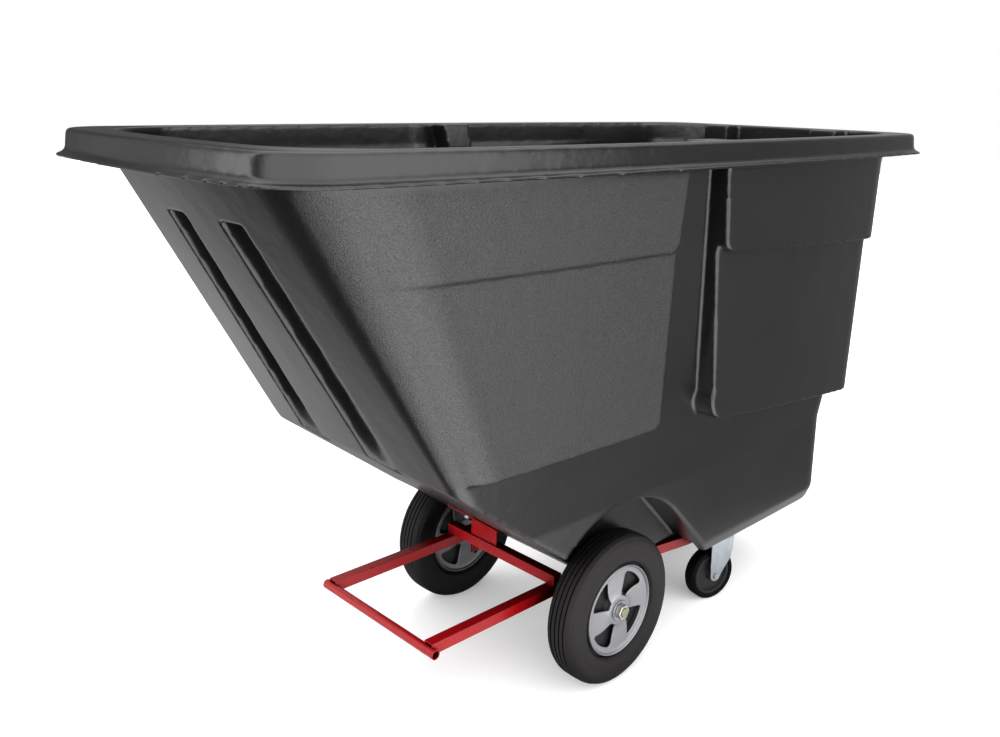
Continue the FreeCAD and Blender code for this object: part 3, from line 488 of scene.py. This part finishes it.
def pressed_disc(side, sign, facing):
    """The pressing's own shape: curved windows and a thin rolled bead round the edge."""
    low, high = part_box("wheel_disc_outer_" + side)
    centre = (low + high) / 2 if isinstance(low, Vector) else Vector([(a + b) / 2 for a, b in zip(low, high)])

    def shape(spot):
        across, up = spot.x - centre.x, spot.z - centre.z
        radius = math.hypot(across, up)
        if radius < HUB_EDGE:
            return spot
        angle = math.atan2(up, across * -facing)
        share = max(-1.0, min(1.0, (radius - WEB_MIDDLE) / (WEB_EDGE - WEB_MIDDLE)))
        fade = max(0.0, min(1.0, (DISC_EDGE - radius) / (DISC_EDGE - WEB_EDGE)))
        ease = max(0.0, min(1.0, (radius - HUB_EDGE) / 0.006))
        spread = WINDOW_FLARE * share * math.sin(4.0 * (angle - WINDOW_MIDDLE)) * fade * ease
        angle += spread - WINDOW_TURN * share * 0.5
        if radius > BEAD_START:
            radius = DISC_EDGE - (DISC_EDGE - radius) * 0.5
        elif radius > WEB_EDGE:
            stretch = (DISC_EDGE - (DISC_EDGE - BEAD_START) * 0.5 - WEB_EDGE) / (BEAD_START - WEB_EDGE)
            radius = WEB_EDGE + (radius - WEB_EDGE) * stretch
        return Vector((centre.x + radius * math.cos(angle) * -facing, spot.y,
                       centre.z + radius * math.sin(angle)))

    return shape


def refined_meshes():
    softened("tub", TUB_VOXEL, 7, "truck", SKIN)
    for side, sign in SIDES:
        for face, turn in (("outer", 1.0), ("inner", -1.0)):
            softened("wheel_disc_%s_%s" % (face, side), DISC_VOXEL, 4, "wheel_" + side,
                     SILVER, pressed_disc(side, sign, sign * turn))
        softened("axle_nut_" + side, NUT_VOXEL, 5, "truck", YELLOW_ZINC)
        softened("caster_fork_" + side, FORK_VOXEL, 3, "swivel_" + side, ZINC)
        caster_tread(side)
    frame_welds()


# ---------------------------------------------------------------- studio


# How bright the studio is round the compass, as (degrees from +X, times white). A broad
# panel stands on the truck's left, a weaker one on its right, and a strip off the front.
LEVEL_GLOW = ((-180, 2.8), (-150, 2.8), (-62, 3.3), (-52, 3.0), (-44, 0.50), (-36, 0.22), (-10, 0.30),
              (20, 0.40), (55, 0.40), (64, 0.12), (96, 0.15), (108, 0.45), (122, 0.50), (128, 0.8),
              (131, 4.6), (135, 4.6), (139, 0.05), (150, 0.2), (160, 1.4), (170, 2.6), (180, 2.8))
LOW_GLOW = ((-180, 0.30), (-170, 0.9), (-160, 2.6), (-150, 3.7), (-62, 3.8), (-52, 3.4), (-44, 0.50),
            (-36, 0.20), (0, 0.28), (30, 0.40), (60, 0.45), (78, 0.75), (86, 1.05), (96, 0.85),
            (105, 0.15), (125, 0.04), (160, 0.06), (180, 0.30))
OVERHEAD_GLOW = 2.3
FLOOR_PALE = (0.90, 0.90, 0.90)
NEAR_REFLECTION = (0.30, 0.60)
SHADOW_LIFT = 0.22


class WorldGlow:
    """Node helpers for the light that comes from all round."""

    def __init__(self):
        self.world = bpy.data.worlds.new("studio")
        self.world.use_nodes = True
        self.tree = self.world.node_tree

    def ranged(self, source, start, end, low=0.0, high=1.0, smooth=True):
        made = self.tree.nodes.new("ShaderNodeMapRange")
        if smooth:
            made.interpolation_type = "SMOOTHSTEP"
        made.inputs["From Min"].default_value = start
        made.inputs["From Max"].default_value = end
        made.inputs["To Min"].default_value = low
        made.inputs["To Max"].default_value = high
        self.tree.links.new(source, made.inputs["Value"])
        return made.outputs["Result"]

    def compass(self, turn, stops):
        """A ring of brightness that follows the compass, from its stops."""
        made = self.tree.nodes.new("ShaderNodeFloatCurve")
        curve = made.mapping.curves[0]
        peak = max(value for angle, value in stops)
        points = [((angle + 180.0) / 360.0, value / peak) for angle, value in stops]
        for place, value in points[1:-1]:
            curve.points.new(place, value)
        curve.points[0].location = points[0]
        curve.points[len(points) - 1].location = points[-1]
        for point in curve.points:
            point.handle_type = "AUTO_CLAMPED"
        made.mapping.update()
        self.tree.links.new(turn, made.inputs["Value"])
        return self.scaled(made.outputs["Value"], peak)

    def scaled(self, source, factor):
        made = self.tree.nodes.new("ShaderNodeMath")
        made.operation = "MULTIPLY"
        made.inputs[1].default_value = factor
        self.tree.links.new(source, made.inputs[0])
        return made.outputs["Value"]

    def blend(self, factor, first, second):
        made = self.tree.nodes.new("ShaderNodeMix")
        self.tree.links.new(factor, made.inputs["Factor"])
        for name, value in (("A", first), ("B", second)):
            socket = [s for s in made.inputs if s.name == name and s.type == "VALUE"][0]
            if isinstance(value, float):
                socket.default_value = value
            else:
                self.tree.links.new(value, socket)
        return [s for s in made.outputs if s.type == "VALUE"][0]


def studio_world():
    """White behind the object; soft panels round it and overhead light it."""
    glow = WorldGlow()
    tree = glow.tree
    coords = tree.nodes.new("ShaderNodeTexCoord")
    split = tree.nodes.new("ShaderNodeSeparateXYZ")
    tree.links.new(coords.outputs["Generated"], split.inputs["Vector"])
    angle = tree.nodes.new("ShaderNodeMath")
    angle.operation = "ARCTAN2"
    tree.links.new(split.outputs["Y"], angle.inputs[0])
    tree.links.new(split.outputs["X"], angle.inputs[1])
    turn = glow.ranged(angle.outputs["Value"], -math.pi, math.pi, smooth=False)
    level = glow.compass(turn, LEVEL_GLOW)
    low = glow.compass(turn, LOW_GLOW)
    round_about = glow.blend(glow.ranged(split.outputs["Z"], -0.42, -0.12), low, level)
    upper = glow.ranged(split.outputs["Z"], 0.40, 0.85)
    lit = glow.blend(upper, round_about, OVERHEAD_GLOW)
    path = tree.nodes.new("ShaderNodeLightPath")
    strength = glow.blend(path.outputs["Is Camera Ray"], lit, 1.0)
    background = tree.nodes["Background"]
    background.inputs["Color"].default_value = (1.0, 1.0, 1.0, 1.0)
    tree.links.new(strength, background.inputs["Strength"])
    bpy.context.scene.world = glow.world


def studio_floor():
    """A pale level floor; only the low parts of the truck mirror it, the rest mirror the panels."""
    build = bmesh.new()
    bmesh.ops.create_grid(build, x_segments=1, y_segments=1, size=14.0)
    mesh = bpy.data.meshes.new("studio_floor")
    build.to_mesh(mesh)
    build.free()
    floor = bpy.data.objects.new("studio_floor", mesh)
    bpy.context.scene.collection.objects.link(floor)
    paper = Shader("floor_paper")
    paper.set(Base_Color=FLOOR_PALE, Roughness=0.9)
    paper.bsdf.inputs["Specular IOR Level"].default_value = 0.0
    path = paper.add("ShaderNodeLightPath")
    paper.bsdf.inputs["Emission Color"].default_value = (1.0, 1.0, 1.0, 1.0)
    lift = paper.math("MULTIPLY", path.outputs["Is Camera Ray"], SHADOW_LIFT)
    paper.link(lift, paper.bsdf.inputs["Emission Strength"])
    far = paper.ramp(path.outputs["Ray Length"], 0.0, 1.0, *NEAR_REFLECTION)
    clear = paper.math("MULTIPLY", far, path.outputs["Is Glossy Ray"])
    glass = paper.add("ShaderNodeBsdfTransparent")
    mixed = paper.add("ShaderNodeMixShader")
    paper.link(clear, mixed.inputs["Fac"])
    paper.link(paper.bsdf.outputs["BSDF"], mixed.inputs[1])
    paper.link(glass.outputs["BSDF"], mixed.inputs[2])
    output = [node for node in paper.tree.nodes if node.type == "OUTPUT_MATERIAL"][0]
    paper.link(mixed.outputs["Shader"], output.inputs["Surface"])
    mesh.materials.append(paper.material)


def plain_colours():
    """Show the render's own colours, with no film look."""
    scene = bpy.context.scene
    scene.view_settings.view_transform = "Standard"
    scene.view_settings.look = "None"


# Viewpoint: where the camera stands in the truck's frame and how it is aimed.
CAMERA_AT = Vector((-1.4932, -1.3673, 1.1869))
CAMERA_YAW = 0.80798
CAMERA_PITCH = -0.21990
CAMERA_ROLL = 0.02385
CAMERA_LENS = 34.836
CAMERA_SHIFT = (0.00942, -0.0617)


def studio_camera():
    forward = Vector((math.cos(CAMERA_YAW) * math.cos(CAMERA_PITCH),
                      math.sin(CAMERA_YAW) * math.cos(CAMERA_PITCH), math.sin(CAMERA_PITCH)))
    flat_right = Vector((forward.y, -forward.x, 0.0)).normalized()
    flat_up = flat_right.cross(forward)
    right = flat_right * math.cos(CAMERA_ROLL) + flat_up * math.sin(CAMERA_ROLL)
    up = flat_up * math.cos(CAMERA_ROLL) - flat_right * math.sin(CAMERA_ROLL)
    turn = Matrix((right, up, -forward)).transposed().to_4x4()
    lens = bpy.data.cameras.new("studio_camera")
    lens.lens = CAMERA_LENS
    lens.sensor_width = 36.0
    lens.shift_x, lens.shift_y = CAMERA_SHIFT
    lens.clip_start = 0.05
    lens.clip_end = 100.0
    camera = bpy.data.objects.new("studio_camera", lens)
    bpy.context.scene.collection.objects.link(camera)
    camera.matrix_world = Matrix.Translation(CAMERA_AT) @ turn
    bpy.context.scene.camera = camera


# ---------------------------------------------------------------- build

dress_cad_nodes()
refined_meshes()
studio_floor()
studio_world()
plain_colours()
studio_camera()
